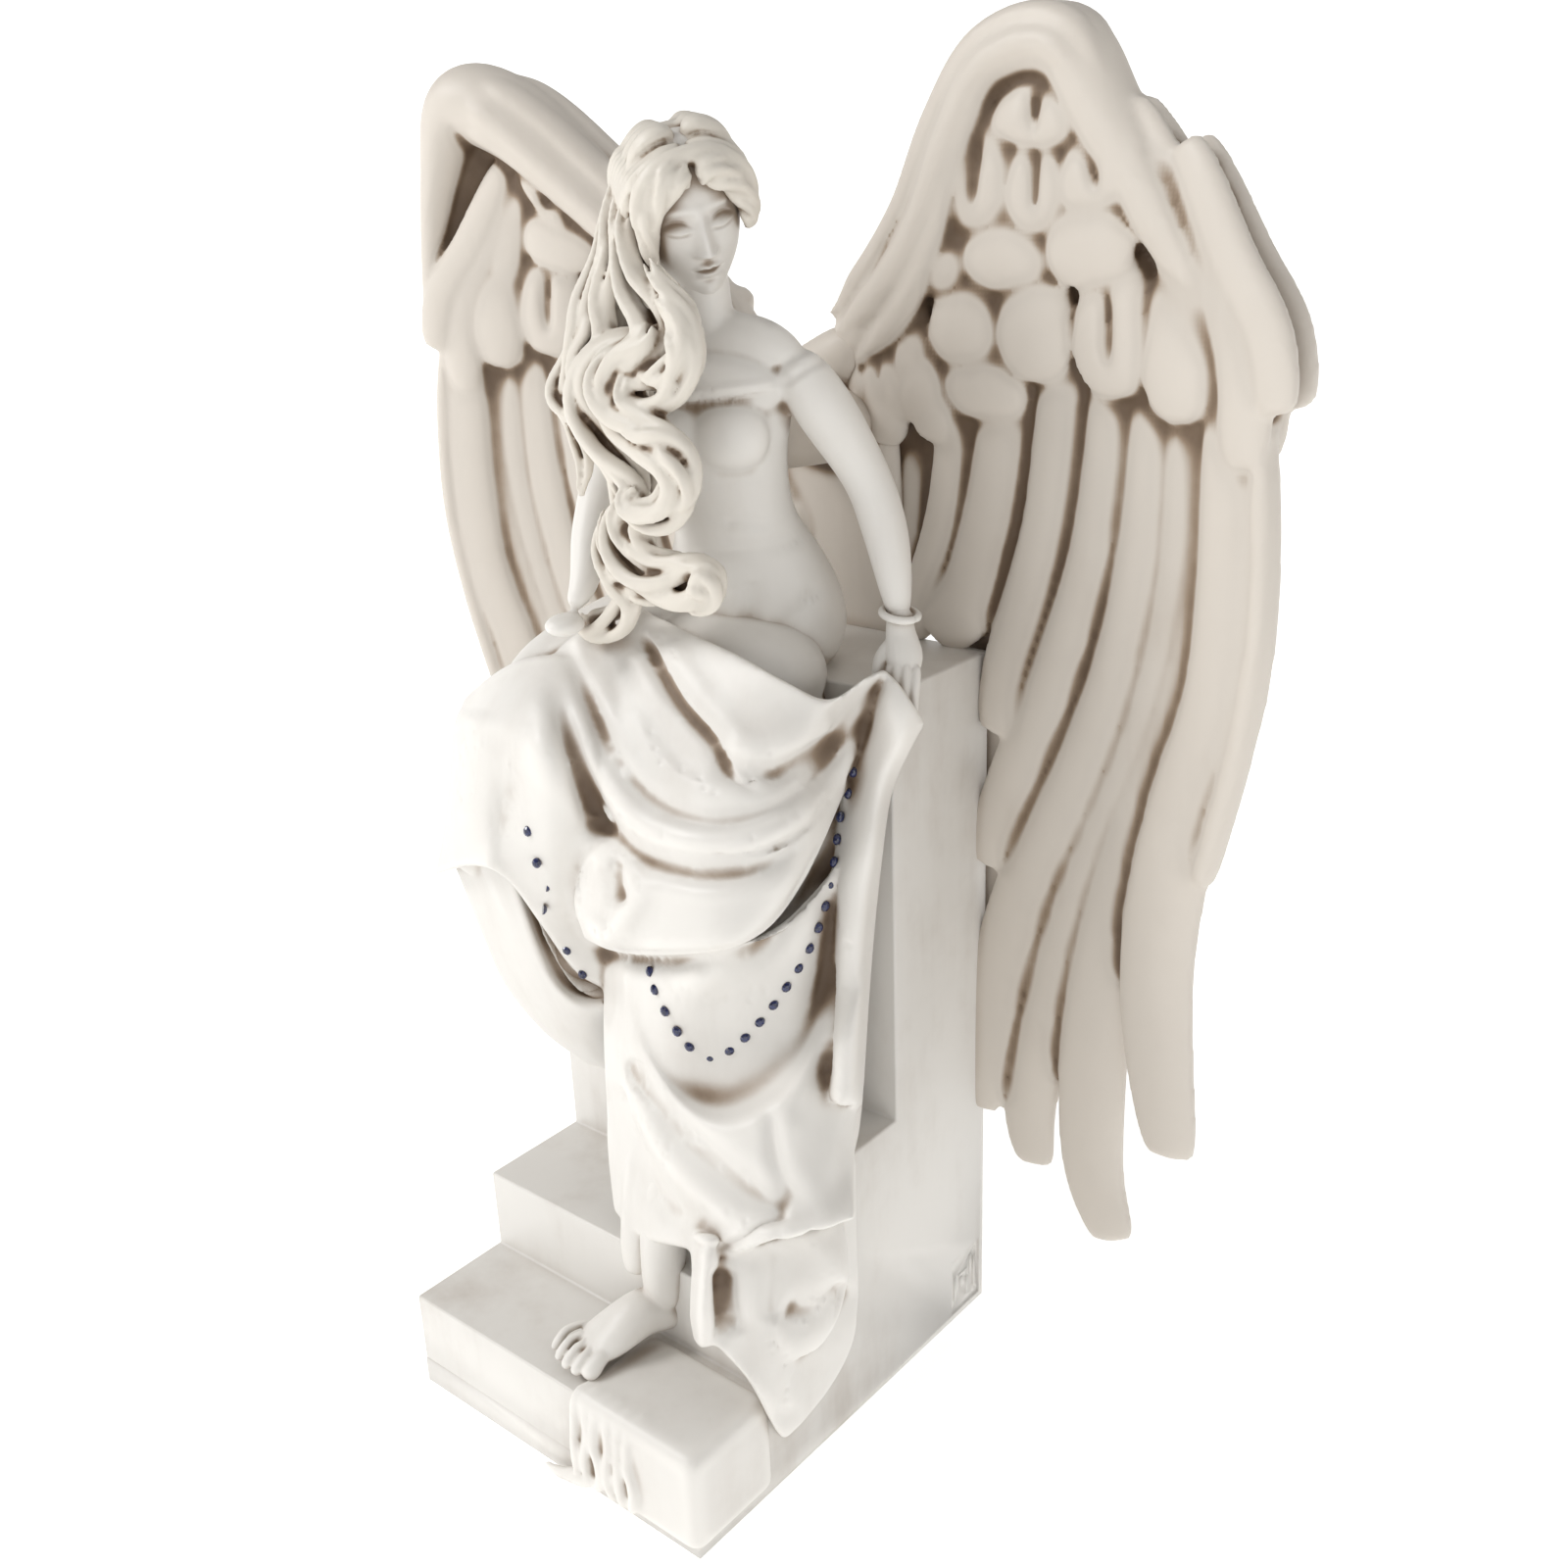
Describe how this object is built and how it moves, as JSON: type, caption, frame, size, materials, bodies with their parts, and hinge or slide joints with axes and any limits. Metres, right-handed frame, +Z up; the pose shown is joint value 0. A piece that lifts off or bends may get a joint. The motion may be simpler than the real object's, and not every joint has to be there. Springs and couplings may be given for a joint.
{
  "type": "angel figurine",
  "caption": "Seated winged woman in draped cloth on a stepped plinth, cast in resin as one piece, with small blue stones glued along the folds of the dress.",
  "frame": {"origin": "middle of the plinth's underside", "axes": "+Z up, -Y towards the front, where the steps go down, +X towards the figure's left hand"},
  "size_m": [0.3035, 0.1517, 0.3822],
  "materials": {
    "resin": "satin",
    "stone": "gloss"
  },
  "bodies": {
    "root": {"angel_figurine": "resin", "stone_01": "stone", "stone_02": "stone", "stone_03": "stone", "stone_04": "stone", "stone_05": "stone", "stone_06": "stone", "stone_07": "stone", "stone_08": "stone", "stone_09": "stone", "stone_10": "stone", "stone_11": "stone", "stone_12": "stone", "stone_13": "stone", "stone_14": "stone", "stone_15": "stone", "stone_16": "stone", "stone_17": "stone", "stone_18": "stone", "stone_19": "stone", "stone_20": "stone", "stone_21": "stone", "stone_22": "stone", "stone_23": "stone", "stone_24": "stone", "stone_25": "stone", "stone_26": "stone", "stone_27": "stone", "stone_28": "stone"}
  },
  "joints": []
}
